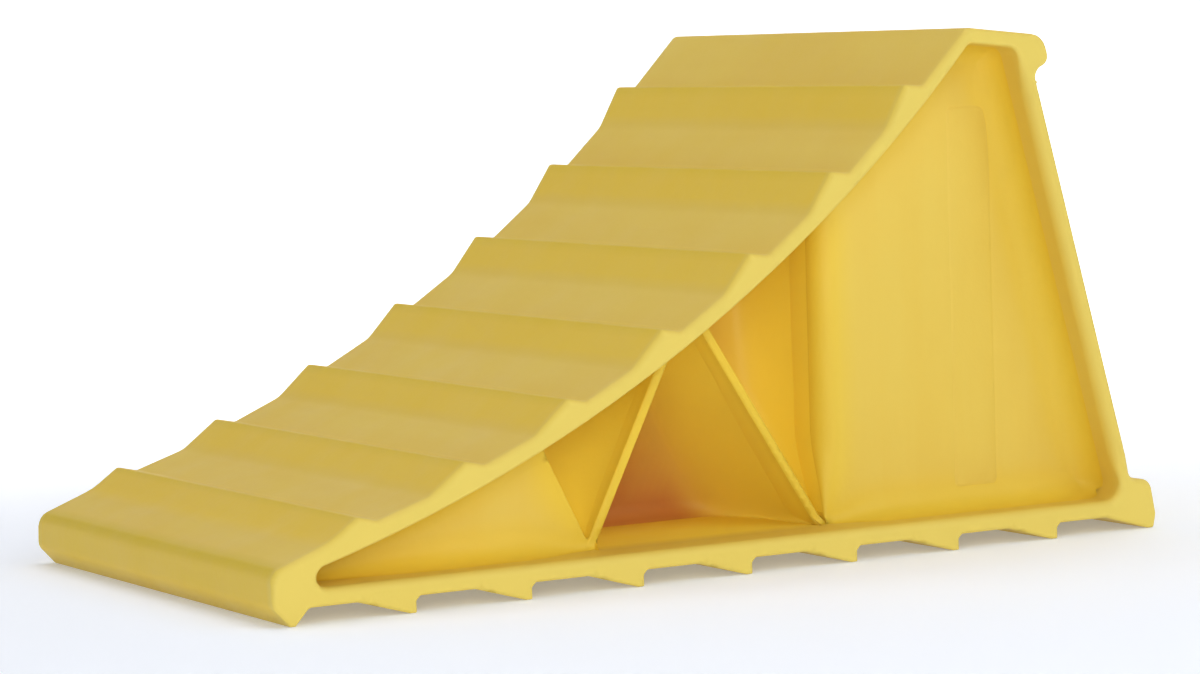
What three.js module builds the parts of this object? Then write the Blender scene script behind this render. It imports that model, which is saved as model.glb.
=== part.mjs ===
// Moulded wheel chock for trucks and trailers.
//
// The chock is a wedge with a ramp of eight scalloped treads, bent to the curve of a truck tyre.
// Every member of the moulding is a prism that runs across the chock, so each one is drawn here
// as an outline in the side view and extruded through its own width.
//
// Millimetres. X runs from the toe to the heel, Y across the chock and Z up from the ground.
// Outlines are drawn with x = 0 on the face of the toe, and the last lines centre the object.

import * as THREE from 'three';

// ---- Driving dimensions ------------------------------------------------------------------

const LENGTH = 354;
const WIDTH = 203;
const SIDE_RECESS = 20; // the core and the ribs stand this far inside each side of the rim
const POCKET_WEB = 60; // thickness of the web left between a pocket and its twin
const GAP = 0.3; // clearance between the rim and the members inside it

// The ramp: ridges on the tyre's curve, an even step apart.
const RAMP_CENTRE = { x: -135, z: 554.4 };
const RIDGE_RADIUS = 547.3;
const UNDERSIDE_RADIUS = 557.5;
const FIRST_RIDGE_ANGLE = 0.3094;
const RIDGE_STEP = 0.0782;
const RIDGES = 7;
const RIDGE_ROUNDING = 1.5;
const LAND_RUN = 7.6; // level land behind each ridge
const LAND_FALL_FIRST = 0.225; // fall of the lowest land, as a slope
const LAND_FALL_LAST = 0.09;
const VALLEY_ROUNDING = 2.5;
const CREASE = { share: 0.54, depth: 3, rounding: 10 }; // share is along a scallop's chord

// The toe and its foot, which has a narrow flat tip.
const TOE = { top: 17.8, topRounding: 5.5, bottom: 6.8, bottomRounding: 4.2 };
const TOE_JOINT = 14.5; // where the toe meets the first tread
const TOE_CREASE = { share: 0.66, depth: 2, rounding: 25 };
const FOOT = { tip: 7.5, front: 1.4, rear: 0.6, run: 5.6, rounding: 2.5 };
const TIP_ROUNDING = 1;

// The base and its cleats. A cleat slopes down to its tip and drops back behind it.
const BASE_BOTTOM = 5.5;
const BASE_TOP = 11.5;
const BAY_END_RADIUS = 3.6;
const CLEATS = 8;
const CLEAT_PITCH = 43;
const CLEAT_RUN = 19.9; // length of a cleat's sloping face
const CLEAT_TIP = { front: 1, rear: 1.2, rounding: 0.8 };
const CLEAT_ROOT = 1.6; // size of the chamfer behind a cleat

// The top plate and the lip behind it.
const CREST = { x: 276.2, z: 183.9, rounding: 3 };
const CREST_JOINT = { top: 283.5, underside: 282.5 };
const TOP_FALL = 0.108; // slope of the top plate, down towards the rear
const TOP_THICKNESS = 5.5;
const LIP = { front: 300.5, rear: 310.4, rearRounding: 6.5, low: 170.6, lowRounding: 3.5 };
const LIP_ROOT = { joint: 163.2, z: 167.4, rounding: 4 };

// The rear wall and the heel behind its foot.
const WALL_LEAN = 0.262; // run of the rear wall for each unit of height
const WALL_AT_GROUND = 348.1; // where the outer face of the rear wall would meet the ground
const WALL_THICKNESS = 5.3;
const WALL_LOW_JOINT = 28;
const WALL_HIGH_JOINT = 160;
const HEEL_JOINT = 326;
const LEDGE = { root: 18.8, rootRounding: 3.5, x: 352.2, z: 17.6, rounding: 4 };
const HEEL = { z: 5, rounding: 3, tipFront: 0.8, tipRear: 1.4 };

// Inner corners of the rim.
const UNDER_CREST_ROUNDING = 3;
const UNDER_TOP_REAR_ROUNDING = 5;
const FLOOR_CORNER_ROUNDING = 6;

// The truss inside: the sloping edge of the nose web, two leaning ribs and the heel block.
const RIB_RUN = 4; // thickness of a leaning rib, measured level
const BAY_SILL = 15.6; // the nose web reaches the front rib below this height
const BAY_EDGE_FOOT = 126.7;
const BAY_EDGE_HEAD = 0.452; // heads are angles about the ramp's centre
const FRONT_RIB_FOOT = 129.7; // a rib is placed by its face towards the heel
const FRONT_RIB_HEAD = 0.5749;
const REAR_RIB_FOOT = 223;
const REAR_RIB_HEAD = 0.5873;
const HEEL_BLOCK_FRONT = 223.6;
const REAR_POCKET_RISE = 3; // the rear pocket's web stands this far above the floor

// A blank raised plate on each side of the heel block.
const PLATE = { left: 279, right: 297.5, low: 19, high: 156, thickness: 0.4, rounding: 2 };

// ---- Outline helpers ---------------------------------------------------------------------

const ARC_STEP = Math.PI / 10;
const RAMP_SUBDIVISION = RIDGE_STEP / 4;

const corner = (x, z, radius = 0) => ({ x, z, radius });

// A point on a circle about the ramp's centre, with the angle measured from straight down.
function onRamp(radius, angle) {
  return corner(RAMP_CENTRE.x + radius * Math.sin(angle), RAMP_CENTRE.z - radius * Math.cos(angle));
}

const rampAngle = (p) => Math.atan2(p.x - RAMP_CENTRE.x, RAMP_CENTRE.z - p.z);

// Points along a circle about the ramp's centre, both ends included.
function alongRamp(radius, from, to) {
  const steps = Math.max(1, Math.round(Math.abs(to - from) / RAMP_SUBDIVISION));
  const points = [];
  for (let i = 0; i <= steps; i++) points.push(onRamp(radius, from + ((to - from) * i) / steps));
  return points;
}

// Points along a circular arc about any centre, both ends included.
function arc(centre, radius, from, to) {
  const steps = Math.ceil(Math.abs(to - from) / ARC_STEP);
  const points = [];
  for (let i = 0; i <= steps; i++) {
    const angle = from + ((to - from) * i) / steps;
    points.push(corner(centre.x + radius * Math.cos(angle), centre.z + radius * Math.sin(angle)));
  }
  return points;
}

// Replaces each corner that has a radius with an arc tangent to its two sides.
function roundCorners(corners) {
  const points = [];
  corners.forEach((here, i) => {
    if (!here.radius) {
      points.push(new THREE.Vector2(here.x, here.z));
      return;
    }
    const at = new THREE.Vector2(here.x, here.z);
    const before = corners.at(i - 1);
    const after = corners[(i + 1) % corners.length];
    const back = new THREE.Vector2(before.x, before.z).sub(at).normalize();
    const ahead = new THREE.Vector2(after.x, after.z).sub(at).normalize();
    const turn = Math.PI - Math.acos(THREE.MathUtils.clamp(back.dot(ahead), -1, 1));
    const reach = here.radius * Math.tan(turn / 2);
    const start = at.clone().addScaledVector(back, reach);
    const bisector = back.clone().add(ahead).normalize();
    const centre = at.clone().addScaledVector(bisector, here.radius / Math.cos(turn / 2));
    const swing = Math.sign(ahead.cross(back)) * turn;
    const steps = Math.max(2, Math.ceil(turn / ARC_STEP));
    for (let k = 0; k <= steps; k++) {
      points.push(start.clone().rotateAround(centre, (swing * k) / steps));
    }
  });
  return points;
}

// ---- Points that neighbouring members share ----------------------------------------------

const topPlateZ = (x) => CREST.z - TOP_FALL * (x - CREST.x);
const topPlateUnderside = (x) => topPlateZ(x) - TOP_THICKNESS;
const wallOuter = (z, inset = 0) => corner(WALL_AT_GROUND - WALL_LEAN * z - inset, z);
const wallInner = (z, inset = 0) => wallOuter(z, WALL_THICKNESS + inset);

// The crease of a scallop lies below the chord from its valley to the next ridge.
function crease(from, to, { share, depth, rounding }) {
  const run = to.x - from.x;
  const rise = to.z - from.z;
  const chord = Math.hypot(run, rise);
  const x = from.x + run * share + (rise / chord) * depth;
  const z = from.z + rise * share - (run / chord) * depth;
  return corner(x, z, rounding);
}

const ridges = [];
const valleys = [];
const topJoints = []; // joints between treads, halfway along each ridge's land
for (let i = 0; i < RIDGES; i++) {
  const ridge = onRamp(RIDGE_RADIUS, FIRST_RIDGE_ANGLE + i * RIDGE_STEP);
  const fall = THREE.MathUtils.lerp(LAND_FALL_FIRST, LAND_FALL_LAST, i / (RIDGES - 1));
  ridges.push(corner(ridge.x, ridge.z, RIDGE_ROUNDING));
  valleys.push(corner(ridge.x + LAND_RUN, ridge.z - LAND_RUN * fall, VALLEY_ROUNDING));
  topJoints.push(corner(ridge.x + LAND_RUN / 2, ridge.z - (LAND_RUN / 2) * fall));
}

const toeCorner = corner(0, TOE.top, TOE.topRounding);
const toeCrease = crease(toeCorner, ridges[0], TOE_CREASE);
const toeSlope = (toeCrease.z - TOE.top) / toeCrease.x;
const toeJoint = corner(TOE_JOINT, TOE.top + TOE_JOINT * toeSlope);

// The rounded end of the nose bay touches the base below and the underside of the ramp above.
const bayEnd = { z: BASE_TOP + BAY_END_RADIUS };
const bayEndReach = UNDERSIDE_RADIUS + BAY_END_RADIUS;
bayEnd.x = RAMP_CENTRE.x + Math.sqrt(bayEndReach ** 2 - (RAMP_CENTRE.z - bayEnd.z) ** 2);
const bayEndAngle = rampAngle(bayEnd);
const bayTop = onRamp(UNDERSIDE_RADIUS, bayEndAngle);

// The inner corner under the crest, where the ramp's underside meets the top plate's.
function underCrest(inset) {
  const radius = UNDERSIDE_RADIUS + inset;
  const settled = 20; // rounds of the search, which is exact well before this
  let x = CREST.x;
  for (let i = 0; i < settled; i++) {
    const z = topPlateUnderside(x) - inset;
    x = RAMP_CENTRE.x + Math.sqrt(radius ** 2 - (RAMP_CENTRE.z - z) ** 2);
  }
  return corner(x, topPlateUnderside(x) - inset, UNDER_CREST_ROUNDING);
}

// The inner corner at the top of the rear wall.
function underTopRear(inset) {
  const foot = wallInner(0, inset).x;
  const rise = topPlateUnderside(0) - inset;
  const x = (foot - WALL_LEAN * rise) / (1 - WALL_LEAN * TOP_FALL);
  return corner(x, topPlateUnderside(x) - inset, UNDER_TOP_REAR_ROUNDING);
}

const crestJoint = corner(CREST_JOINT.top, topPlateZ(CREST_JOINT.top));
const crestJointLow = corner(CREST_JOINT.underside, topPlateUnderside(CREST_JOINT.underside));
const lipJoint = corner(LIP.front, topPlateZ(LIP.front));
const lipJointLow = wallOuter(LIP_ROOT.joint);

// ---- Rim members, full width -------------------------------------------------------------

const tipAt = (i) => FOOT.tip + i * CLEAT_PITCH;

function noseBlock() {
  const tip = tipAt(0);
  return [
    corner(bayEnd.x, BASE_BOTTOM),
    ...arc(bayEnd, BAY_END_RADIUS, -Math.PI / 2, bayEndAngle - 1.5 * Math.PI),
    toeJoint,
    toeCorner,
    corner(0, TOE.bottom, TOE.bottomRounding),
    corner(tip - FOOT.front, 0, TIP_ROUNDING),
    corner(tip + FOOT.rear, 0, TIP_ROUNDING / 2),
    corner(tip + FOOT.run, BASE_BOTTOM, FOOT.rounding),
  ].reverse();
}

// The first tread rises from the toe in one long scallop.
function firstTread() {
  const underside = alongRamp(UNDERSIDE_RADIUS, rampAngle(topJoints[0]), bayEndAngle);
  return [toeJoint, toeCrease, ridges[0], topJoints[0], ...underside];
}

// A middle tread lies between the joints on the lands behind two ridges.
function middleTread(i) {
  const start = topJoints[i - 1];
  const end = topJoints[i];
  const scallop = [valleys[i - 1], crease(valleys[i - 1], ridges[i], CREASE), ridges[i]];
  return [start, ...scallop, end, ...alongRamp(UNDERSIDE_RADIUS, rampAngle(end), rampAngle(start))];
}

// The last tread is a flat facet that ends at the crest.
function lastTread() {
  const start = topJoints.at(-1);
  const crest = corner(CREST.x, CREST.z, CREST.rounding);
  const inner = underCrest(0);
  const underside = alongRamp(UNDERSIDE_RADIUS, rampAngle(inner) - RAMP_SUBDIVISION, rampAngle(start));
  return [start, valleys.at(-1), crest, crestJoint, crestJointLow, inner, ...underside];
}

function topPlate() {
  return [
    crestJointLow,
    crestJoint,
    lipJoint,
    lipJointLow,
    wallOuter(WALL_HIGH_JOINT),
    wallInner(WALL_HIGH_JOINT),
    underTopRear(0),
  ];
}

function topLip() {
  return [
    lipJointLow,
    lipJoint,
    corner(LIP.rear, topPlateZ(LIP.rear), LIP.rearRounding),
    corner(LIP.rear, LIP.low, LIP.lowRounding),
    { ...wallOuter(LIP_ROOT.z), radius: LIP_ROOT.rounding },
  ];
}

function rearWall() {
  return [
    wallInner(WALL_LOW_JOINT),
    wallInner(WALL_HIGH_JOINT),
    wallOuter(WALL_HIGH_JOINT),
    wallOuter(WALL_LOW_JOINT),
  ];
}

function heelLip() {
  const tip = tipAt(CLEATS);
  return [
    corner(HEEL_JOINT, BASE_BOTTOM),
    corner(HEEL_JOINT, BASE_TOP),
    { ...wallInner(BASE_TOP), radius: FLOOR_CORNER_ROUNDING },
    wallInner(WALL_LOW_JOINT),
    wallOuter(WALL_LOW_JOINT),
    { ...wallOuter(LEDGE.root), radius: LEDGE.rootRounding },
    corner(LEDGE.x, LEDGE.z, LEDGE.rounding),
    corner(LENGTH, HEEL.z, HEEL.rounding),
    corner(tip + HEEL.tipRear, 0, TIP_ROUNDING),
    corner(tip - HEEL.tipFront, 0, TIP_ROUNDING),
    corner(tip - CLEAT_RUN, BASE_BOTTOM),
  ];
}

function basePlate() {
  return [
    corner(bayEnd.x, BASE_BOTTOM),
    corner(bayEnd.x, BASE_TOP),
    corner(HEEL_JOINT, BASE_TOP),
    corner(HEEL_JOINT, BASE_BOTTOM),
  ];
}

function cleat(i) {
  const tip = tipAt(i);
  const face = tip + CLEAT_TIP.rear;
  return [
    corner(tip - CLEAT_RUN, BASE_BOTTOM),
    corner(face + CLEAT_ROOT, BASE_BOTTOM),
    corner(face, BASE_BOTTOM - CLEAT_ROOT),
    corner(face, 0, TIP_ROUNDING / 2),
    corner(tip - CLEAT_TIP.front, 0, CLEAT_TIP.rounding),
  ];
}

// ---- Members inside the rim, set in from both sides --------------------------------------

const innerFloor = BASE_TOP + GAP;
const innerRadius = UNDERSIDE_RADIUS + GAP;

// A line moved along X, and the point on it at a given height.
const slide = (line, run) => line.map((p) => corner(p.x + run, p.z));

function atHeight([a, b], z) {
  return corner(a.x + ((b.x - a.x) * (z - a.z)) / (b.z - a.z), z);
}

// Where a line meets the circle that the inside members end on.
function atRamp([a, b]) {
  const dx = b.x - a.x;
  const dz = b.z - a.z;
  const px = a.x - RAMP_CENTRE.x;
  const pz = a.z - RAMP_CENTRE.z;
  const quad = dx * dx + dz * dz;
  const half = px * dx + pz * dz;
  const rest = px * px + pz * pz - innerRadius ** 2;
  const t = (-half - Math.sqrt(half * half - quad * rest)) / quad;
  return corner(a.x + dx * t, a.z + dz * t);
}

const bayEdge = [corner(BAY_EDGE_FOOT, BAY_SILL), onRamp(innerRadius, BAY_EDGE_HEAD)];
const frontRibFace = [corner(FRONT_RIB_FOOT, innerFloor), onRamp(innerRadius, FRONT_RIB_HEAD)];
const rearRibFace = [corner(REAR_RIB_FOOT, innerFloor), onRamp(innerRadius, REAR_RIB_HEAD)];
const frontRibBack = slide(frontRibFace, -RIB_RUN);
const rearRibBack = slide(rearRibFace, -RIB_RUN);
const heelBlockFace = [corner(HEEL_BLOCK_FRONT, innerFloor), corner(HEEL_BLOCK_FRONT, BAY_SILL)];

// The stretch of the circle between two lines, listed from the right line to the left one.
function undersideBetween(left, right) {
  return alongRamp(innerRadius, rampAngle(atRamp(right)), rampAngle(atRamp(left)));
}

function noseWeb() {
  const ribSide = slide(frontRibBack, -GAP);
  const end = arc(bayEnd, BAY_END_RADIUS - GAP, bayEndAngle - 1.5 * Math.PI, -Math.PI / 2);
  const underside = alongRamp(innerRadius, rampAngle(bayEdge[1]), bayEndAngle);
  return [
    ...underside,
    ...end.slice(1),
    ribSide[0],
    atHeight(ribSide, BAY_SILL),
    bayEdge[0],
  ];
}

function leaningRib(face, back) {
  return [back[0], face[0], ...undersideBetween(back, face)];
}

// The web between two lines, standing on the floor or on the sill of the nose bay.
function pocketWeb(leftEdge, rightEdge, floor) {
  const left = slide(leftEdge, GAP);
  const right = slide(rightEdge, -GAP);
  return [atHeight(left, floor), atHeight(right, floor), ...undersideBetween(left, right)];
}

function heelBlock() {
  const floorCorner = { ...wallInner(innerFloor, GAP), radius: FLOOR_CORNER_ROUNDING };
  const top = underCrest(GAP);
  const rampStart = rampAngle(top) - RAMP_SUBDIVISION;
  const ramp = alongRamp(innerRadius, rampStart, rampAngle(atRamp(heelBlockFace)));
  return [heelBlockFace[0], floorCorner, underTopRear(GAP), top, ...ramp];
}

// ---- Build -------------------------------------------------------------------------------

const YELLOW = 0xdfc258;
const ROUGHNESS = 0.38;

const coreWidth = WIDTH - 2 * SIDE_RECESS;

// A prism of the outline, as wide as asked and centred on the chock unless it is moved.
function addMember(group, name, outline, width, offset = 0) {
  const shape = new THREE.Shape(roundCorners(outline));
  const geometry = new THREE.ExtrudeGeometry(shape, { depth: width, bevelEnabled: false });
  const material = new THREE.MeshStandardMaterial({ color: YELLOW, roughness: ROUGHNESS, metalness: 0 });
  const mesh = new THREE.Mesh(geometry, material);
  mesh.name = name;
  mesh.position.z = offset - width / 2;
  group.add(mesh);
}

const sideView = new THREE.Group();
sideView.rotation.x = Math.PI / 2;

addMember(sideView, 'nose_block', noseBlock(), WIDTH);
addMember(sideView, 'tread_1', firstTread(), WIDTH);
for (let i = 1; i < RIDGES; i++) addMember(sideView, `tread_${i + 1}`, middleTread(i), WIDTH);
addMember(sideView, `tread_${RIDGES + 1}`, lastTread(), WIDTH);
addMember(sideView, 'top_plate', topPlate(), WIDTH);
addMember(sideView, 'top_lip', topLip(), WIDTH);
addMember(sideView, 'rear_wall', rearWall(), WIDTH);
addMember(sideView, 'heel_lip', heelLip(), WIDTH);
addMember(sideView, 'base_plate', basePlate(), WIDTH);
for (let i = 1; i < CLEATS; i++) addMember(sideView, `cleat_${i}`, cleat(i), WIDTH);

addMember(sideView, 'nose_web', noseWeb(), coreWidth);
addMember(sideView, 'front_rib', leaningRib(frontRibFace, frontRibBack), coreWidth);
addMember(sideView, 'rear_rib', leaningRib(rearRibFace, rearRibBack), coreWidth);
addMember(sideView, 'heel_block', heelBlock(), coreWidth);

const frontPocket = pocketWeb(bayEdge, frontRibBack, BAY_SILL + GAP);
const middlePocket = pocketWeb(frontRibFace, rearRibBack, innerFloor);
const rearPocket = pocketWeb(rearRibFace, heelBlockFace, innerFloor + REAR_POCKET_RISE);
addMember(sideView, 'front_pocket_web', frontPocket, POCKET_WEB);
addMember(sideView, 'middle_pocket_web', middlePocket, POCKET_WEB);
addMember(sideView, 'rear_pocket_web', rearPocket, POCKET_WEB);

const plateOutline = [
  corner(PLATE.left, PLATE.low, PLATE.rounding),
  corner(PLATE.right, PLATE.low, PLATE.rounding),
  corner(PLATE.right, PLATE.high, PLATE.rounding),
  corner(PLATE.left, PLATE.high, PLATE.rounding),
];
const plateOffset = (coreWidth + PLATE.thickness) / 2;
addMember(sideView, 'blank_plate_near', plateOutline, PLATE.thickness, plateOffset);
addMember(sideView, 'blank_plate_far', plateOutline, PLATE.thickness, -plateOffset);

const chock = new THREE.Group();
chock.add(sideView);
sideView.position.x = -new THREE.Box3().setFromObject(sideView).getCenter(new THREE.Vector3()).x;

export default chock;
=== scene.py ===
import math

import bpy
import numpy as np
from mathutils import Matrix, Vector
from mathutils.geometry import delaunay_2d_cdt


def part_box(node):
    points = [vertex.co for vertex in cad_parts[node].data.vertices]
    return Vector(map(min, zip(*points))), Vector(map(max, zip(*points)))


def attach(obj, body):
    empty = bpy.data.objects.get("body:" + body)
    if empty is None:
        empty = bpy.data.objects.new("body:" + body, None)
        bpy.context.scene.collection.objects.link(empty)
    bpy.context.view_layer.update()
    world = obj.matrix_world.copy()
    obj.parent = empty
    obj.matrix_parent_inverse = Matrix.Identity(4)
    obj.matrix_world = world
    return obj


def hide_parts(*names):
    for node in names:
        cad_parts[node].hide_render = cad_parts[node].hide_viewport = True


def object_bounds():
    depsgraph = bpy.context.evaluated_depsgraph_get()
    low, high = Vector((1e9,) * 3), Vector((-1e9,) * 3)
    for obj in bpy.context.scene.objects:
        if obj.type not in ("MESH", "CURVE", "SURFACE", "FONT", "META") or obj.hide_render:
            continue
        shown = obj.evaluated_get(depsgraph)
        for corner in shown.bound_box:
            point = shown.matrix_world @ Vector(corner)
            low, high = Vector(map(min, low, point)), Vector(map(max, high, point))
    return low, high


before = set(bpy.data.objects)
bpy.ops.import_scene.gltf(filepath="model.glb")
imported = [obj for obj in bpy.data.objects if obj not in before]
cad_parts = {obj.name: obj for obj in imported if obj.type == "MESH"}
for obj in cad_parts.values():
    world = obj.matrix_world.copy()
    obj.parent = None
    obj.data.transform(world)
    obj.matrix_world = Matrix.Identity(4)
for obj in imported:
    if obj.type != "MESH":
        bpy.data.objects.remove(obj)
cad_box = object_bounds()

# Shapes are worked out in millimetres in the side view, as pairs of X and Z.
MM = 0.001

# Roundings of the rim's edges.
EDGE_RADIUS = 1.3
WALL_EDGE_RADIUS = 4.8  # inside the rear wall
FLOOR_EDGE_RADIUS = 3.2  # along the recess floor
TREAD_EDGE_RADIUS = 2.4  # at the ends of the treads
EDGE_FADE = 0.3  # how fast the broad roundings shrink past their own edges, mm per mm

# Fillets round the recess, and the edges of the ribs and the heel block.
PANEL_FILLET = 10.0
RIB_FILLET = 2.5
FILLET_GROWTH = 25.0  # distance from a rib over which its fillet grows to the panel's
NOSE_FILLET = 2.0  # the least that a fillet shrinks to in the narrow nose
NOSE_FILLET_SHARE = 0.42  # the share of the nose bay's height that a fillet may take up
RIB_EDGE_RADIUS = 0.9
HEEL_EDGE_RADIUS = 8.0
ROUNDING_GROWTH = 18.0  # distance from a rib over which the heel block's edge reaches its radius

# Pockets and blank plates.
POCKET_DEPTH = {"front_pocket_web": 29.0, "middle_pocket_web": 44.0, "rear_pocket_web": 34.0}
POCKET_LIP = 1.4  # how far below the rounded edges beside it a pocket's web begins
POCKET_FULL_WIDTH = 18.0  # width at which a pocket is about two thirds of its full depth
POCKET_ROUND = 13.0  # how far in from a wall a pocket reaches its full depth
POCKET_FILLET = 7.0
PLATE_SLOPE = 1.4  # how far in from its outline the blank plate reaches its full height
PLATE_ROOT = 1.0  # how far the blank plate reaches into the panel under it

# Bands of colour, painted light and shade.
CREST_SHADE_BAND = 4.0  # width of the darker stripe of painted shade along each ridge
RIDGE_STRIPE, TOE_STRIPE = 0.5, 1.0  # strength of that painted shade along a ridge and along the toe
RIDGE_SHADE_BAND = 18.0  # width of the golden band of painted shade below each ridge
RIDGE_SHADE_FADE = 6.0  # width over which that painted shade fades out
LIT_SIDE_BAND = 5.0  # depth over which the sides of the rim are painted paler, as painted light
CORE_SHADE_BAND = 18.0  # width of the golden band of painted shade round the sides of the core
AMBER_DEPTH = 50.0  # depth in a pocket at which the colour is fully amber, the deepest painted shade
MOUTH_FADE = 5.0  # the pockets' painted light and shade comes in over twice this depth
LIT_WALL_REACH = 24.0  # how far a pocket's painted golden glow reaches in from its wall on the heel's side

# How closely the members meet.
ON_EDGE = 0.01  # within this distance, a point lies on an edge
NEAR_EDGE = 0.05  # within this distance, the border of a mesh lies along an edge
SAME_LEVEL = 0.1  # levels this close to each other are the same
OVERLAP = 0.02  # how far the inner members reach into the rim, past their CAD gap
CAD_GAP = 0.45  # at most this far apart, two members of the CAD model count as touching
FOOT_GAP = 0.8  # the same, between a rib's foot and the panel beside it
POCKET_OVERLAP = 0.6  # how far a pocket's web reaches into the members round it

# Meshing and shading.
STATION_STEP = 4.0  # longest step between points along an edge
JOINT_STEP = 0.05  # step of the search along a joint between two members
RING_ANGLES = np.radians([18, 36, 54, 72, 90])  # places of the rows of points down a rounding
FINE_RING_ANGLES = np.radians(np.arange(7.5, 91, 7.5))
BROAD = 3.0  # largest radius that the few rows are enough for
SHARP_TURN = math.radians(40)  # a corner that turns further than this stays sharp
SMOOTH_FACET = 12.0  # longest facet that is shaded as part of a curve
SLOPE_STEP = 0.02  # half the distance over which a slope is measured


# ---- Side-view geometry ------------------------------------------------------------------


def side_outline(node):
    """The corners of a node's end face, counter-clockwise with X to the right and Z up."""
    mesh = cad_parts[node].data
    corners = np.array([v.co for v in mesh.vertices]) / MM
    end = corners[:, 1].max() - ON_EDGE
    edges = set()
    for face in mesh.polygons:
        ring = [tuple(np.round(corners[i, [0, 2]], 3)) for i in face.vertices]
        if all(corners[i, 1] > end for i in face.vertices):
            edges.update(zip(ring, ring[1:] + ring[:1]))
    follow = {a: b for a, b in edges if (b, a) not in edges}
    loop = [min(follow)]
    while follow[loop[-1]] != loop[0]:
        loop.append(follow[loop[-1]])
    loop = np.array(loop)
    return loop if area(loop) > 0 else loop[::-1]


def area(loop):
    x, z = loop.T
    return 0.5 * float(np.sum(x * np.roll(z, -1) - z * np.roll(x, -1)))


def with_corners_of(loop, others):
    """The loop, with the others' corners added where they lie on its edges."""
    out = []
    for a, b in zip(loop, np.roll(loop, -1, axis=0)):
        along = b - a
        length = np.hypot(*along)
        t = (others - a) @ along / length**2
        off = np.hypot(*(others - a - t[:, None] * along).T)
        on = others[(off < ON_EDGE) & (t * length > ON_EDGE) & ((1 - t) * length > ON_EDGE)]
        on = sorted({tuple(p) for p in on}, key=lambda p: (p[0] - a[0]) ** 2 + (p[1] - a[1]) ** 2)
        out += [tuple(a)] + on
    return np.array(out)


class Edges:
    """Straight edges in the side view, with the outward normal that shading uses at each end."""

    def __init__(self, loops):
        pairs = [(tuple(a), tuple(b)) for l in loops for a, b in zip(l, np.roll(l, -1, axis=0))]
        known = set(pairs)
        free = [(a, b) for a, b in pairs if (b, a) not in known]
        self.start = np.array([a for a, b in free])
        self.end = np.array([b for a, b in free])
        along = self.end - self.start
        self.length = np.hypot(*along.T)
        self.normal = np.stack([along[:, 1], -along[:, 0]], 1) / self.length[:, None]
        starts = {a: i for i, (a, b) in enumerate(free)}
        self.after = np.array([starts.get(b, i) for i, (a, b) in enumerate(free)])
        self.before = np.arange(len(free))
        self.before[self.after] = np.arange(len(free))
        self.start_normal = self.blended(self.before)
        self.end_normal = self.blended(self.after)
        self.radius = np.full((len(free), 2), EDGE_RADIUS)

    def blended(self, other):
        """The normal shared with another edge at a corner, unless the corner is sharp."""
        mixed = self.normal * self.length[:, None] + (self.normal * self.length[:, None])[other]
        mixed /= np.hypot(*mixed.T)[:, None] + 1e-12
        smooth = np.sum(self.normal * self.normal[other], 1) > math.cos(SHARP_TURN)
        return np.where(smooth[:, None], mixed, self.normal)

    def nearest(self, points):
        """Each point's distance to the nearest edge, that edge, and how far along it, 0 to 1."""
        along = self.end - self.start
        t = np.einsum("pek,ek->pe", points[:, None] - self.start, along) / self.length**2
        t = np.clip(t, 0, 1)
        gap = points[:, None] - self.start - t[..., None] * along
        away = np.sqrt(np.sum(gap**2, 2))
        i = np.argmin(away, 1)
        rows = np.arange(len(points))
        return away[rows, i], i, t[rows, i]

    def distance(self, points):
        return self.nearest(points)[0]

    def shading(self, i, t):
        """The outward normal at a share t of edge i."""
        mixed = self.start_normal[i] * (1 - t)[:, None] + self.end_normal[i] * t[:, None]
        at_corner = np.minimum(t, 1 - t) < 0.001
        curved = (self.length[i] < SMOOTH_FACET) | at_corner
        out = np.where(curved[:, None], mixed, self.normal[i])
        return out / np.hypot(*out.T)[:, None]

    def some(self, keep):
        """The edges that keep picks, as a new set."""
        chosen = object.__new__(Edges)
        for name in ("start", "end", "length", "normal", "start_normal", "end_normal", "radius"):
            setattr(chosen, name, getattr(self, name)[keep])
        return chosen


def inside(points, loop):
    """Which points lie inside a loop."""
    x, z = points.T
    within = np.zeros(len(points), bool)
    for (ax, az), (bx, bz) in zip(loop, np.roll(loop, -1, axis=0)):
        crosses = (az > z) != (bz > z)
        if crosses.any():
            reach = ax + (z - az) * (bx - ax) / ((bz - az) or 1e-12)
            within ^= crosses & (x < reach)
    return within


def quarter(distance, radius):
    """The rise of a quarter round, from the radius at no distance to nothing at the radius."""
    left = radius - np.minimum(distance, radius)
    return radius - np.sqrt(np.maximum(radius**2 - left**2, 0))


def smooth_step(x):
    x = np.clip(x, 0, 1)
    return x * x * (3 - 2 * x)


# ---- Meshing -----------------------------------------------------------------------------


def even_stations(a, b):
    """Points in even steps along an edge from a to b, without b."""
    count = max(1, math.ceil(np.hypot(*(b - a)) / STATION_STEP))
    return a + (np.arange(count) / count)[:, None] * (b - a)


def joint_stations(a, b, level):
    """Points along a joint from a to b, without b, where a level passes the rows of the roundings.

    Both members that meet at the joint search it in the same direction, so they get the same points.
    """
    flip = tuple(a) > tuple(b)
    low, high = (b, a) if flip else (a, b)
    t = np.linspace(0, 1, max(4, math.ceil(np.hypot(*(b - a)) / JOINT_STEP)))
    levels = level(low + t[:, None] * (high - low))
    found = []
    for row in np.outer((EDGE_RADIUS, TREAD_EDGE_RADIUS), 1 - np.cos(RING_ANGLES)).ravel():
        change = np.nonzero((levels[:-1] - row) * (levels[1:] - row) < 0)[0]
        share = (row - levels[change]) / (levels[change + 1] - levels[change])
        found += list(t[change] + share * (t[1] - t[0]))
    found = sorted(found)
    if flip:
        found = [1 - s for s in reversed(found)]
    return a + np.array([0] + found)[:, None] * (b - a)


def border_points(loop, own_edges, joint_level):
    """Points all round the loop. With a joint_level, edges off own_edges are joints."""
    border = []
    for a, b in zip(loop, np.roll(loop, -1, axis=0)):
        at_joint = joint_level is not None and own_edges.distance(((a + b) / 2)[None])[0] > ON_EDGE
        border.append(joint_stations(a, b, joint_level) if at_joint else even_stations(a, b))
    return np.concatenate(border)


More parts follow.
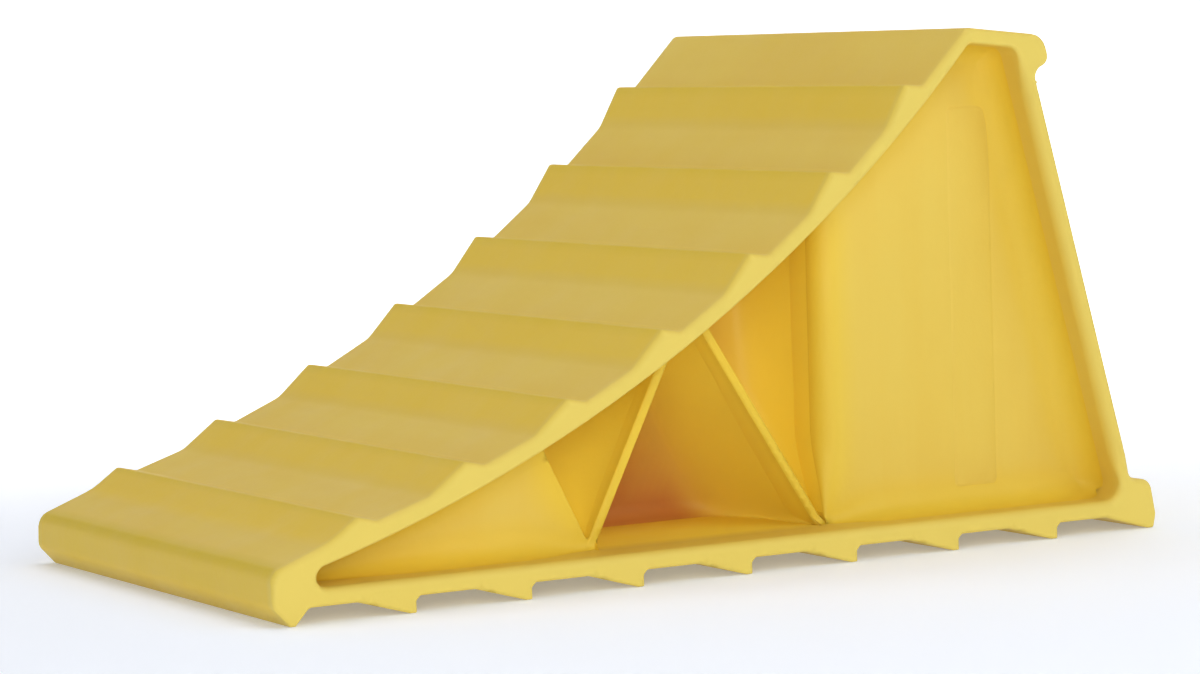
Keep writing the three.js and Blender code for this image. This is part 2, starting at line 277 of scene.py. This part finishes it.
def rows_beside(edges, radius):
    """Rows of points that follow some edges inwards, up to a radius or to each edge's own."""
    least_lean = 0.3  # keeps a row's points from running far past a sharp corner
    share, slack = 0.98, 0.004  # a point is dropped if another edge is nearer to it than its own
    along = edges.end - edges.start
    steps = np.maximum(1, np.ceil(edges.length / STATION_STEP)).astype(int)
    for i, count in enumerate(steps):
        t = np.arange(count + 1) / count
        base = edges.start[i] + t[:, None] * along[i]
        ends = edges.radius[i] if radius is None else (radius, radius)
        radii = ends[0] + (ends[1] - ends[0]) * t
        directions = np.repeat(-edges.normal[i][None], len(t), 0)
        for end, at in ((0, edges.start_normal[i]), (-1, edges.end_normal[i])):
            directions[end] = -at / max(float(edges.normal[i] @ at), least_lean)
        for angle in FINE_RING_ANGLES if max(ends) > BROAD else RING_ANGLES:
            away = radii * (1 - math.cos(angle))
            points = base + directions * away[:, None]
            yield points[edges.distance(points) > away * share - slack]


def side_mesh(loop, bands, joint_level=None):
    """Triangles over the loop, with rows of points along its edges where the height curves.

    bands are (Edges, radius) pairs: rows follow those edges inwards up to the radius.
    """
    clear_of_border, merge_step, weld = 0.03, 0.04, 1e-5
    border = border_points(loop, bands[0][0], joint_level)
    extra = np.concatenate([row for edges, radius in bands for row in rows_beside(edges, radius)])
    extra = extra[inside(extra, loop)]
    extra = extra[Edges([loop]).distance(extra) > clear_of_border]
    cells = np.round(extra / merge_step).astype(int)
    extra = extra[np.sort(np.unique(cells, axis=0, return_index=True)[1])]
    points = [Vector(p) for p in np.concatenate([border, extra]).tolist()]
    keep_inside = 1
    out = delaunay_2d_cdt(points, [], [list(range(len(border)))], keep_inside, weld)
    flat = np.array([tuple(v) for v in out[0]])
    faces = np.array([f for f in out[2] if len(f) == 3])
    corners = flat[faces]
    turn = np.cross(corners[:, 1] - corners[:, 0], corners[:, 2] - corners[:, 0])
    faces[turn < 0] = faces[turn < 0][:, ::-1]
    return flat, faces


def faces_pocket(points):
    """Which points on the outlines of the members lie beside one of the three pockets."""
    return pocket_edges.distance(points) < FOOT_GAP


def border_edges(faces):
    """The edges that only one triangle has, as pairs of points."""
    edges = {(int(f[k]), int(f[(k + 1) % 3])) for f in faces for k in range(3)}
    return np.array([e for e in sorted(edges) if (e[1], e[0]) not in edges])


def height_normals(flat, height, border, outward):
    """Unit normals of the height over the side view, as (X, outward Y, Z)."""
    inset = 0.05  # the border's slopes are measured this far in from it
    points = flat.copy()
    points[border] -= outward * inset
    slopes = []
    for step in ([SLOPE_STEP, 0], [0, SLOPE_STEP]):
        slopes.append((height(points + step) - height(points - step)) / (2 * SLOPE_STEP))
    normal = np.stack([-slopes[0], np.ones(len(flat)), -slopes[1]], 1)
    return normal / np.linalg.norm(normal, axis=1)[:, None]


class Border:
    """The border of a side mesh: its edges, its points, and the shading of the faces across it."""

    def __init__(self, flat, faces, shade_edges):
        self.edges = border_edges(faces)
        self.points = np.unique(self.edges)
        self.middle = (flat[self.edges[:, 0]] + flat[self.edges[:, 1]]) / 2
        away, near, _ = shade_edges.nearest(self.middle)
        self.joint = away > ON_EDGE
        along = flat[self.edges[:, 1]] - flat[self.edges[:, 0]]
        plain = np.stack([along[:, 1], -along[:, 0]], 1)
        plain /= np.hypot(*plain.T)[:, None]
        run = (shade_edges.end - shade_edges.start)[near]
        self.ends = []
        for side in (0, 1):
            t = np.sum((flat[self.edges[:, side]] - shade_edges.start[near]) * run, 1)
            t = np.clip(t / shade_edges.length[near] ** 2, 0, 1)
            self.ends.append(np.where(self.joint[:, None], plain, shade_edges.shading(near, t)))

    def outward(self, flat):
        """The unit vector that points outwards at each point of the mesh, or nothing off the border."""
        out = np.zeros_like(flat)
        for side in (0, 1):
            np.add.at(out, self.edges[:, side], np.where(self.joint[:, None], 0, self.ends[side]))
        size = np.hypot(*out[self.points].T)
        lone = size < 1e-6
        out[self.points[lone]] = 0
        out[self.points[~lone]] /= size[~lone][:, None]
        return out


def closed_mesh(name, flat, faces, border, heights, normals):
    """The mesh between two heights, high side first, joined by faces across its border."""
    count = len(flat)
    corners = [np.stack([flat[:, 0], height, flat[:, 1]], 1) for height in heights]
    upper = [tuple(f[::-1]) for f in faces.tolist()]
    lower = [tuple(i + count for i in f) for f in faces.tolist()]
    loops = [normals[0][i] for f in upper for i in f]
    loops += [normals[1][i - count] for f in lower for i in f]
    across = []
    for (i, j), at_i, at_j in zip(border.edges.tolist(), *border.ends):
        across.append((i + count, i, j, j + count))
        loops += [(at_i[0], 0, at_i[1])] * 2 + [(at_j[0], 0, at_j[1])] * 2
    mesh = bpy.data.meshes.new(name)
    mesh.from_pydata((np.concatenate(corners) * MM).tolist(), [], upper + lower + across)
    mesh.polygons.foreach_set("use_smooth", [True] * len(mesh.polygons))
    mesh.normals_split_custom_set([tuple(map(float, n)) for n in loops])
    return mesh


def add_layer(mesh, name, domain, values):
    layer = mesh.attributes.new(name, "FLOAT", domain)
    layer.data.foreach_set("value", values)


def add_ridge_layers(mesh, flat):
    """Marks the painted shade of each ridge: the stripe along it, and the golden band below it."""
    own_slope = 0.5  # how far past a ridge's top its own band may begin
    to_crest = np.linalg.norm(flat[:, None] - crests, axis=2)
    below = to_crest + np.where(flat[:, None, 0] > crests[:, 0] + own_slope, np.inf, 0)
    on_crest_shade = (smooth_step(1 - to_crest / CREST_SHADE_BAND) * crest_strength).max(1)
    under_crest_shade = smooth_step((RIDGE_SHADE_BAND - below.min(1)) / RIDGE_SHADE_FADE)
    add_layer(mesh, "on_crest_shade", "POINT", np.tile(on_crest_shade, 2))
    add_layer(mesh, "under_crest_shade", "POINT", np.tile(under_crest_shade, 2))


def make_piece(
    name, loop, bands, height, shade_edges, bend, floor=None, joint_level=None, shade_share=None, pocket=False
):
    """A closed piece between a height on each side of the chock, or between floor and height.

    shade_edges give the shading of the faces that run across the chock. bend says for each point
    of the border whether the height starts there square to the side: +1 where it rounds off, -1
    where it is a fillet, and 0 where it is neither. The painted shade argument says how much painted shade
    each point takes, 0 to 1. pocket is true where the sides are in a pocket too.
    """
    flat, faces = side_mesh(loop, bands, joint_level)
    border = Border(flat, faces, shade_edges)
    outward = border.outward(flat)
    high = height(flat)
    normal = height_normals(flat, height, border.points, outward[border.points])
    for i, way in zip(border.points, bend(flat[border.points])):
        if way and outward[i].any():
            normal[i] = (way * outward[i][0], 0, way * outward[i][1])
    if floor is None:
        low, low_normal = -high, normal * [1, -1, 1]
    else:
        low, low_normal = np.full(len(flat), floor), np.tile([0.0, -1.0, 0.0], (len(flat), 1))
    mesh = closed_mesh(name, flat, faces, border, (high, low), (normal, low_normal))
    # The faces in the pockets take the pockets' painted light and shade.
    across = faces_pocket(border.middle) & ~border.joint
    in_pocket = np.concatenate([np.full(2 * len(faces), pocket), across])
    add_layer(mesh, "in_pocket", "FACE", in_pocket.astype(float))
    add_ridge_layers(mesh, flat)
    # How much painted shade each point takes, 0 to 1.
    shade_values = np.zeros(len(flat)) if shade_share is None else shade_share(flat)
    add_layer(mesh, "shade_share", "POINT", np.tile(shade_values, 2))
    piece = bpy.data.objects.new(name, mesh)
    bpy.context.scene.collection.objects.link(piece)
    return piece


# ---- The members -------------------------------------------------------------------------

half_width = cad_box[1][1] / MM
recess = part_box("heel_block")[1].y / MM
names = sorted(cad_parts)
rim_names = [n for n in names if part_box(n)[1].y / MM > half_width - SAME_LEVEL]
panel_names = ["nose_web", "heel_block"]
rib_names = ["front_rib", "rear_rib"]
pocket_names = list(POCKET_DEPTH)

outlines = {n: side_outline(n) for n in names}
base_top = outlines["base_plate"][:, 1].max()

# The ridges' tops, and the upper corner of the toe, which is the last of the crests.
ridge_names = [n for n in names if n.startswith("tread_")][:-1]
crests = [outlines[n][np.argmax(outlines[n][:, 1])] for n in ridge_names]
crests.append(outlines["nose_block"][np.argmax(outlines["nose_block"] @ (-1, 1))])
crests = np.array(crests)
crest_strength = np.array([RIDGE_STRIPE] * len(ridge_names) + [TOE_STRIPE])

rim_corners = np.concatenate([outlines[n] for n in rim_names])
for n in rim_names:
    outlines[n] = with_corners_of(outlines[n], rim_corners)
rim = Edges([outlines[n] for n in rim_names])


def widen_edges():
    """Rounds the rear wall's inside, the treads' ends and the recess floor more broadly."""
    squarely, mostly, partly = 0.9, 0.5, 0.3  # how far an edge's normal goes a certain way
    above_base = base_top + 1
    wall = Edges([outlines["rear_wall"]])
    wall_inside = wall.some(wall.normal[:, 0] < -squarely)
    lowest, highest = np.minimum(rim.start, rim.end)[:, 1], np.maximum(rim.start, rim.end)[:, 1]
    tread_tops = rim.some((rim.normal[:, 1] > partly) & (lowest > above_base))
    floor = rim.some((lowest > base_top - SAME_LEVEL) & (highest < base_top + SAME_LEVEL))
    behind_wall = rim.normal @ wall_inside.normal[0] < -mostly
    for column, corners in enumerate((rim.start, rim.end)):
        at_wall = WALL_EDGE_RADIUS - EDGE_FADE * wall_inside.distance(corners)
        at_treads = TREAD_EDGE_RADIUS - EDGE_FADE * tread_tops.distance(corners)
        at_floor = FLOOR_EDGE_RADIUS - EDGE_FADE * floor.distance(corners)
        broad = np.maximum(np.where(behind_wall, 0, at_wall), np.maximum(at_treads, at_floor))
        rim.radius[:, column] = np.maximum(EDGE_RADIUS, broad)


widen_edges()


def rim_height(points):
    """The height of the rim's sides, rounded along every exposed edge."""
    away, i, t = rim.nearest(points)
    radius = rim.radius[i, 0] * (1 - t) + rim.radius[i, 1] * t
    return half_width - quarter(away, radius)


def build_rim(name):
    """A member of the rim, which reaches over the whole width of the chock."""
    loop = outlines[name]
    reach = 6  # an edge further away than this doesn't round the member
    low, high = loop.min(0) - reach, loop.max(0) + reach
    close = np.all((np.maximum(rim.start, rim.end) > low) & (np.minimum(rim.start, rim.end) < high), 1)
    return make_piece(
        name + "_shell", loop, [(rim.some(close), None)], rim_height, rim,
        lambda points: np.ones(len(points)), joint_level=rim.distance,
    )


def grown(loop, distance):
    """The loop with every corner moved outwards, so that each edge moves by the distance."""
    least_lean = 0.35  # keeps a sharp corner from running far out
    edges = Edges([loop])
    before = edges.normal[edges.before]
    lean = np.maximum(1 + np.sum(before * edges.normal, 1), least_lean)
    return edges.start + (before + edges.normal) / lean[:, None] * distance


def foot_points(edges, points):
    """The nearest points on some edges."""
    _, i, t = edges.nearest(points)
    return edges.start[i] + t[:, None] * (edges.end - edges.start)[i]


def reaching(loop, edges, gap):
    """The loop with the corners that stop short of some edges by a gap moved just inside them."""
    away, i, _ = edges.nearest(loop)
    target = foot_points(edges, loop) - edges.normal[i] * OVERLAP
    return np.where((away < gap)[:, None], target, loop)


def fit_core_loops():
    """The outlines of the ribs and panels, closed up to the rim and to each other."""
    loops = {n: reaching(outlines[n], rim, CAD_GAP) for n in rib_names}
    for panel, rib in zip(panel_names, rib_names):
        beside = Edges([loops[rib]])
        corners = outlines[panel][beside.distance(outlines[panel]) < CAD_GAP]
        loops[panel] = reaching(reaching(outlines[panel], beside, FOOT_GAP), rim, CAD_GAP + OVERLAP)
        if len(corners):
            loops[rib] = with_corners_of(loops[rib], foot_points(beside, corners))
    return loops


pocket_edges = Edges([outlines[n] for n in pocket_names])
core_loops = fit_core_loops()
rib_edges = Edges([core_loops[n] for n in rib_names])


def free_edges(name):
    """The edges of an inner member that neither the rim nor a member beside it covers."""
    edges = Edges([core_loops[name]])
    middle = (edges.start + edges.end) / 2
    covered = rim.distance(middle) < CAD_GAP
    for other in core_loops:
        if other != name:
            covered |= Edges([core_loops[other]]).distance(middle) < CAD_GAP
    return edges.some(~covered)


def nose_bay():
    """Where the nose bay starts, its height there, and how fast it grows towards the heel."""
    round_end = 4  # the bay's closed end is rounded over this length
    loop = outlines["nose_web"]
    start, end = loop[:, 0].min(), loop[np.argmax(loop[:, 1]), 0]
    low = loop[loop[:, 0] < start + round_end]
    height = low[:, 1].max() - low[:, 1].min()
    return start, height, (loop[:, 1].max() - loop[:, 1].min() - height) / (end - start)


NOSE_START, NOSE_HEIGHT, NOSE_SLOPE = nose_bay()


def fillet_radius(points):
    """The radius of the fillet round the recess: small at the ribs and in the narrow nose."""
    near_rib = smooth_step(rib_edges.distance(points) / FILLET_GROWTH)
    radius = RIB_FILLET + (PANEL_FILLET - RIB_FILLET) * near_rib
    room = NOSE_FILLET_SHARE * (NOSE_HEIGHT + (points[:, 0] - NOSE_START) * NOSE_SLOPE)
    return np.minimum(radius, np.maximum(room, NOSE_FILLET))


def heel_edge_radius(points):
    """The radius of the heel block's front edge, which is small where a rib is close."""
    grown_by = smooth_step(rib_edges.distance(points) / ROUNDING_GROWTH)
    return RIB_EDGE_RADIUS + (HEEL_EDGE_RADIUS - RIB_EDGE_RADIUS) * grown_by


def build_core(name):
    """A rib, or a panel at the bottom of the recess, with fillets where it meets the rim."""
    loop = core_loops[name]
    free = free_edges(name)
    on_heel = name == "heel_block"

    def height(points):
        rise = quarter(rim.distance(points), fillet_radius(points))
        radius = heel_edge_radius(points) if on_heel else np.full(len(points), RIB_EDGE_RADIUS)
        return recess + rise - quarter(free.distance(points), radius)

    def bend(points):
        beside_rim = rim.distance(points) < CAD_GAP
        on_free = free.distance(points) < NEAR_EDGE
        return np.where(beside_rim, -1, np.where(on_free, 1, 0))

    own = Edges([loop])
    covered = own.some(rim.distance((own.start + own.end) / 2) < CAD_GAP)
    widest = HEEL_EDGE_RADIUS if on_heel else RIB_EDGE_RADIUS
    # The last band's rows follow the core's sides, under the painted shade that tints them ochre.
    bands = [(covered, PANEL_FILLET), (free, widest), (own, CORE_SHADE_BAND)]
    return make_piece(
        name + "_shell", loop, bands, height, own, bend,
        shade_share=lambda points: smooth_step(1 - own.distance(points) / CORE_SHADE_BAND),
    )


def build_pocket(name):
    """The web that ends a pocket, hollowed out between the walls on its left and right."""
    loop = grown(outlines[name], POCKET_OVERLAP)
    own = Edges([loop])
    middle = (own.start + own.end) / 2
    walls = np.zeros(len(middle), bool)
    for other in core_loops:
        walls |= Edges([core_loops[other]]).distance(middle) < 2 * CAD_GAP
    walls &= rim.distance(middle) > CAD_GAP
    centre = loop.mean(0)[0]
    left = own.some(walls & (middle[:, 0] < centre))
    right = own.some(walls & (middle[:, 0] >= centre))
    ends = own.some(~walls)

    def height(points):
        to_left, to_right = left.distance(points), right.distance(points)
        width = to_left + to_right
        rounding = np.minimum(POCKET_ROUND, width / 2)
        share = 1 - np.minimum(np.minimum(to_left, to_right) / rounding, 1)
        depth = POCKET_DEPTH[name] * (1 - np.exp(-width / POCKET_FULL_WIDTH))
        fillet = quarter(ends.distance(points), POCKET_FILLET)
        lip = recess - POCKET_LIP - heel_edge_radius(points)
        return lip - depth * np.sqrt(1 - share**2) + fillet

    bands = [(own.some(walls), POCKET_ROUND), (ends, POCKET_FILLET)]
    # Painted shade deepens to amber away from the wall on the heel's side, which keeps a painted golden
    # glow.
    return make_piece(
        name + "_shell", loop, bands, height, own, lambda points: -np.ones(len(points)),
        shade_share=lambda points: smooth_step(right.distance(points) / LIT_WALL_REACH), pocket=True,
    )


def build_plate(name, side):
    """The blank plate: its edge slopes softly down to the panel, as on a worn mould."""
    loop = outlines[name]
    own = Edges([loop])
    top = max(abs(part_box(name)[0].y), abs(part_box(name)[1].y)) / MM
    piece = make_piece(
        name + "_shell", loop, [(own, PLATE_SLOPE)],
        lambda points: recess + (top - recess) * smooth_step(own.distance(points) / PLATE_SLOPE), own,
        lambda points: np.zeros(len(points)), floor=recess - PLATE_ROOT,
    )
    if side < 0:
        piece.data.transform(Matrix.Scale(-1, 4, (0, 1, 0)))
        piece.data.flip_normals()
    return piece


# ---- Materials ---------------------------------------------------------------------------


class Nodes:
    """The nodes of one material, with short names for the steps that the materials share."""

    def __init__(self, name):
        self.material = bpy.data.materials.new(name)
        self.material.use_nodes = True
        self.tree = self.material.node_tree
        self.shader = self.tree.nodes["Principled BSDF"].inputs
        self.place = self.add("ShaderNodeTexCoord").outputs["Object"]
        apart = self.add("ShaderNodeSeparateXYZ")
        self.feed(apart.inputs["Vector"], self.place)
        self.across, self.up = apart.outputs["Y"], apart.outputs["Z"]

    def add(self, kind):
        return self.tree.nodes.new(kind)

    def feed(self, socket, value):
        """Links a socket to another node's output, or sets it to a number, colour or vector."""
        if isinstance(value, bpy.types.NodeSocket):
            self.tree.links.new(value, socket)
        elif socket.type == "RGBA":
            socket.default_value = (*value, 1)
        else:
            socket.default_value = value

    def maths(self, operation, first, second=0.0):
        node = self.add("ShaderNodeMath")
        node.operation = operation
        self.feed(node.inputs[0], first)
        self.feed(node.inputs[1], second)
        return node.outputs["Value"]

    def times(self, first, second):
        return self.maths("MULTIPLY", first, second)

    def vector(self, operation, second):
        """The place on the surface, combined with a vector."""
        node = self.add("ShaderNodeVectorMath")
        node.operation = operation
        self.feed(node.inputs[0], self.place)
        self.feed(node.inputs[1], second)
        return node.outputs["Value" if operation == "DOT_PRODUCT" else "Vector"]

    def ramp(self, value, low, high, to_low=0.0, to_high=1.0, shape="LINEAR"):
        """Turns the range from low to high into the range from to_low to to_high."""
        node = self.add("ShaderNodeMapRange")
        node.interpolation_type = shape
        self.feed(node.inputs["Value"], value)
        settings = {"From Min": low, "From Max": high, "To Min": to_low, "To Max": to_high}
        for socket, number in settings.items():
            self.feed(node.inputs[socket], number)
        return node.outputs["Result"]

    def mixed(self, share, first, second):
        """The first colour, with a share of the second."""
        node = self.add("ShaderNodeMix")
        node.data_type = "RGBA"
        share_in, first_in, second_in = node.inputs["Factor"], node.inputs[6], node.inputs[7]
        self.feed(share_in, share)
        self.feed(first_in, first)
        self.feed(second_in, second)
        return node.outputs[2]

    def noise(self, scale, detail=3.0, place=None):
        node = self.add("ShaderNodeTexNoise")
        self.feed(node.inputs["Scale"], scale)
        self.feed(node.inputs["Detail"], detail)
        self.feed(node.inputs["Vector"], place or self.place)
        return node.outputs["Fac"]

    def attribute(self, name):
        node = self.add("ShaderNodeAttribute")
        node.attribute_name = name
        return node.outputs["Fac"]


OCHRE_BELOW_RIDGES = 0.6  # share of ochre in the bands of painted shade below the ridges
OCHRE_ROUND_CORE = 0.7  # and in the bands of painted shade round the sides of the core
AMBER_POWER = 2.4  # how late in a pocket's depth the amber of painted shade comes in
AMBER_AT_WALL = 0.12  # share of the amber painted shade that is left at the wall on the heel's side, which takes a painted golden glow
CLOUD_SCALE, STREAK_SCALE, GLOSS_SCALE, PEBBLE_SCALE = 14.0, 95.0, 45.0, 420.0  # per metre
STREAK_STRETCH = (1.0, 0.06, 0.1)  # draws the noise out across the chock and upwards
CLOUD_SHARE = 0.6  # of the clouding, against the streaks
CLOUD_RANGE = (0.38, 0.62)  # stretch of the noise over which one tint turns into the other
GLOSS_RANGE = (0.3, 0.7)
ROUGHNESS_RANGE = (0.42, 0.56)
PEBBLE_STRENGTH = 0.12
PEBBLE_DEPTH = 0.6  # mm


def urethane(name, base, cloudy, pale, crest, ochre, golden, amber):
    """Satin moulded urethane: faint clouds and streaks, a pebbled skin and uneven gloss.

    The tints are painted light and shade, standing in for the light that travels through the resin.
    The sides of the rim are painted paler, as painted light. The skin is ochre below the ridges and
    round the sides of the core, as painted shade, with a darker stripe of painted shade along each
    ridge. In the pockets it turns from golden to amber with depth, as painted shade, and less so
    towards the wall on the heel's side, where a painted golden glow stays.
    """
    nodes = Nodes(name)
    from_middle = nodes.maths("ABSOLUTE", nodes.across)
    shade_share = nodes.attribute("shade_share")

    def share_between(start, end):
        """A share that grows from 0 to 1 between two distances from the chock's middle plane."""
        return nodes.ramp(from_middle, start * MM, end * MM)

    streaks = nodes.noise(STREAK_SCALE, detail=4.0, place=nodes.vector("MULTIPLY", STREAK_STRETCH))
    clouds = nodes.times(nodes.noise(CLOUD_SCALE), CLOUD_SHARE)
    clouding = nodes.maths("ADD", clouds, nodes.times(streaks, 1 - CLOUD_SHARE))
    skin = nodes.mixed(nodes.ramp(clouding, *CLOUD_RANGE), base, cloudy)
    # Painted shade: ochre below each ridge.
    skin = nodes.mixed(nodes.times(nodes.attribute("under_crest_shade"), OCHRE_BELOW_RIDGES), skin, ochre)
    # Painted shade: a darker stripe along each ridge and the toe's top corner.
    skin = nodes.mixed(nodes.attribute("on_crest_shade"), skin, crest)
    # Painted light: the sides of the rim paler.
    skin = nodes.mixed(share_between(half_width - LIT_SIDE_BAND, half_width), skin, pale)
    # Painted shade: ochre round the sides of the core.
    skin = nodes.mixed(nodes.times(shade_share, OCHRE_ROUND_CORE), skin, ochre)

    # Painted light and shade in the pockets: golden at the mouth and by the wall on the heel's side, amber
    # with depth.
    depth = nodes.maths("POWER", share_between(recess, recess - AMBER_DEPTH), AMBER_POWER)
    pocket_shade_share = nodes.times(depth, nodes.ramp(shade_share, 0.0, 1.0, AMBER_AT_WALL, 1.0))
    past_mouth = share_between(recess + MOUTH_FADE, recess - MOUTH_FADE)
    in_pocket = nodes.times(nodes.attribute("in_pocket"), past_mouth)
    colour = nodes.mixed(in_pocket, skin, nodes.mixed(pocket_shade_share, golden, amber))
    nodes.feed(nodes.shader["Base Color"], colour)

    roughness = nodes.ramp(nodes.noise(GLOSS_SCALE, detail=4.0), *GLOSS_RANGE, *ROUGHNESS_RANGE)
    nodes.feed(nodes.shader["Roughness"], roughness)
    pebbles = nodes.add("ShaderNodeBump")
    nodes.feed(pebbles.inputs["Strength"], PEBBLE_STRENGTH)
    nodes.feed(pebbles.inputs["Distance"], PEBBLE_DEPTH * MM)
    nodes.feed(pebbles.inputs["Height"], nodes.noise(PEBBLE_SCALE, detail=2.0))
    nodes.feed(nodes.shader["Normal"], pebbles.outputs["Normal"])
    nodes.feed(nodes.shader["IOR"], 1.5)
    nodes.feed(nodes.shader["Specular IOR Level"], 0.25)
    return nodes.material


# ---- Build -------------------------------------------------------------------------------

skin = urethane(
    "urethane_skin",
    base=(0.80, 0.578, 0.096),
    cloudy=(0.785, 0.545, 0.081),
    # The tints below stand for painted light and shade: paler lit sides, darker ridges and core bands,
    # golden to amber pockets.
    pale=(0.80, 0.61, 0.118),
    crest=(0.70, 0.495, 0.025),
    ochre=(0.84, 0.57, 0.03),
    golden=(1.0, 0.75, 0.08),
    amber=(0.58, 0.21, 0.045),
)

plate_sides = {"blank_plate_near": -1, "blank_plate_far": 1}
pieces = [(n, build_rim(n)) for n in rim_names]
pieces += [(n, build_core(n)) for n in panel_names + rib_names]
pieces += [(n, build_pocket(n)) for n in pocket_names]
pieces += [(n, build_plate(n, side)) for n, side in plate_sides.items()]
for node, piece in pieces:
    piece.data.materials.append(skin)
    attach(piece, "root")
    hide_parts(node)


# ---- Floor, lights and camera ------------------------------------------------------------

CAMERA_TARGET = Vector((0.004, 0, 0.0761))
CAMERA_DISTANCE = 1.4007
CAMERA_LENS, SENSOR_WIDTH = 115.6, 36
AZIMUTH, ELEVATION, ROLL = (math.radians(a) for a in (-29.64, 4.54, -1.92))
BEHIND = (-math.sin(AZIMUTH), math.cos(AZIMUTH), 0)  # level, from the camera past the chock

COVE_COLOUR = (0.90, 0.93, 0.97)
GLOW_NEAR = 0.22  # the floor's own glow at the chock, where its shadow falls
GLOW_FAR = 0.9  # and at the foot of the cove behind it
GLOW_FROM, GLOW_TO = 0.02, 0.8  # metres behind the chock
DARK_FROM, DARK_TO = -0.3, -0.9  # the glow fades out in front
GLOW_HEIGHT = 0.5  # height up the cove above which little of the glow is left
GLOW_LEFT = 0.1  # and the share that is left
COOL_GLOW = (0.75, 0.82, 1.0)  # near the chock, where the glow offsets the yellow bounced off it
WHITE_GLOW = (1.0, 1.0, 1.0)
LIGHTS_AIM = (0, 0, 0.07)


def cove_mesh():
    """A round floor that curves up into a wall all round, as rings of points joined by faces."""
    flat, bend, top, centre = 2.4, 1.2, 4.5, 0.02
    turns = np.radians(np.arange(0, 91, 7.5))
    profile = [(centre, 0.0)] + [(flat + bend * math.sin(a), bend * (1 - math.cos(a))) for a in turns]
    profile.append((flat + bend, top))
    around = np.radians(np.arange(0, 360, 5))
    points = [(r * math.cos(a), r * math.sin(a), z) for r, z in profile for a in around]
    count = len(around)
    faces = [tuple(range(count))]
    for row in range(len(profile) - 1):
        for k in range(count):
            i, j = row * count + k, row * count + (k + 1) % count
            faces.append((i, i + count, j + count, j))
    mesh = bpy.data.meshes.new("cove")
    mesh.from_pydata(points, [], faces)
    mesh.polygons.foreach_set("use_smooth", [True] * len(mesh.polygons))
    return mesh


def cove_white():
    """Matt white, with a glow that is stronger behind the chock and cooler beside it."""
    nodes = Nodes("cove_white")
    smooth = "SMOOTHSTEP"
    behind = nodes.vector("DOT_PRODUCT", BEHIND)
    glow = nodes.ramp(behind, GLOW_FROM, GLOW_TO, GLOW_NEAR, GLOW_FAR, smooth)
    in_front = nodes.ramp(behind, DARK_TO, DARK_FROM, shape=smooth)
    low_down = nodes.ramp(nodes.up, GLOW_HEIGHT / 2, GLOW_HEIGHT, 1.0, GLOW_LEFT, smooth)
    whiter = nodes.ramp(behind, GLOW_FROM, GLOW_TO / 2, shape=smooth)
    nodes.feed(nodes.shader["Base Color"], COVE_COLOUR)
    nodes.feed(nodes.shader["Roughness"], 0.9)
    nodes.feed(nodes.shader["Emission Strength"], nodes.times(nodes.times(glow, in_front), low_down))
    nodes.feed(nodes.shader["Emission Color"], nodes.mixed(whiter, COOL_GLOW, WHITE_GLOW))
    return nodes.material


def white_cove():
    mesh = cove_mesh()
    mesh.materials.append(cove_white())
    cove = bpy.data.objects.new("cove", mesh)
    bpy.context.scene.collection.objects.link(cove)


def softbox(name, place, size, power, colour=(1, 1, 1)):
    """A rectangular light, in metres and watts, that points at the chock."""
    light = bpy.data.lights.new(name, "AREA")
    light.shape = "RECTANGLE"
    light.size, light.size_y = size
    light.energy = power
    light.color = colour
    lamp = bpy.data.objects.new(name, light)
    bpy.context.scene.collection.objects.link(lamp)
    lamp.location = place
    lamp.rotation_euler = (Vector(LIGHTS_AIM) - Vector(place)).to_track_quat("-Z", "Y").to_euler()


def studio():
    """Soft light from the front right, the front left and above, and a little from all round."""
    softbox("key", place=(0.6, -1.3, 1.2), size=(1.3, 1.1), power=8.6, colour=(0.98, 1, 1))
    softbox("fill", place=(-0.65, -1.5, 0.32), size=(1.2, 0.7), power=8.4)
    softbox("top", place=(0, 0.2, 1.8), size=(1.4, 1.4), power=14, colour=(1, 0.94, 0.89))
    world = bpy.data.worlds.new("studio")
    bpy.context.scene.world = world
    world.use_nodes = True
    background = world.node_tree.nodes["Background"]
    background.inputs["Color"].default_value = (1, 1, 1, 1)
    background.inputs["Strength"].default_value = 0.04


def photo_camera():
    """A long lens, low down on the toe's side of the near face, and tilted a little."""
    flat = math.cos(ELEVATION)
    back = Vector((math.sin(AZIMUTH) * flat, -math.cos(AZIMUTH) * flat, math.sin(ELEVATION)))
    level = (-back).cross(Vector((0, 0, 1))).normalized()
    up = level.cross(-back)
    right = math.cos(ROLL) * level + math.sin(ROLL) * up
    top = -math.sin(ROLL) * level + math.cos(ROLL) * up
    data = bpy.data.cameras.new("camera")
    data.lens, data.sensor_width = CAMERA_LENS, SENSOR_WIDTH
    camera = bpy.data.objects.new("camera", data)
    bpy.context.scene.collection.objects.link(camera)
    camera.matrix_world = Matrix.LocRotScale(
        CAMERA_TARGET + back * CAMERA_DISTANCE, Matrix((right, top, back)).transposed(), None
    )
    bpy.context.scene.camera = camera


white_cove()
studio()
photo_camera()
bpy.context.scene.view_settings.view_transform = "Standard"
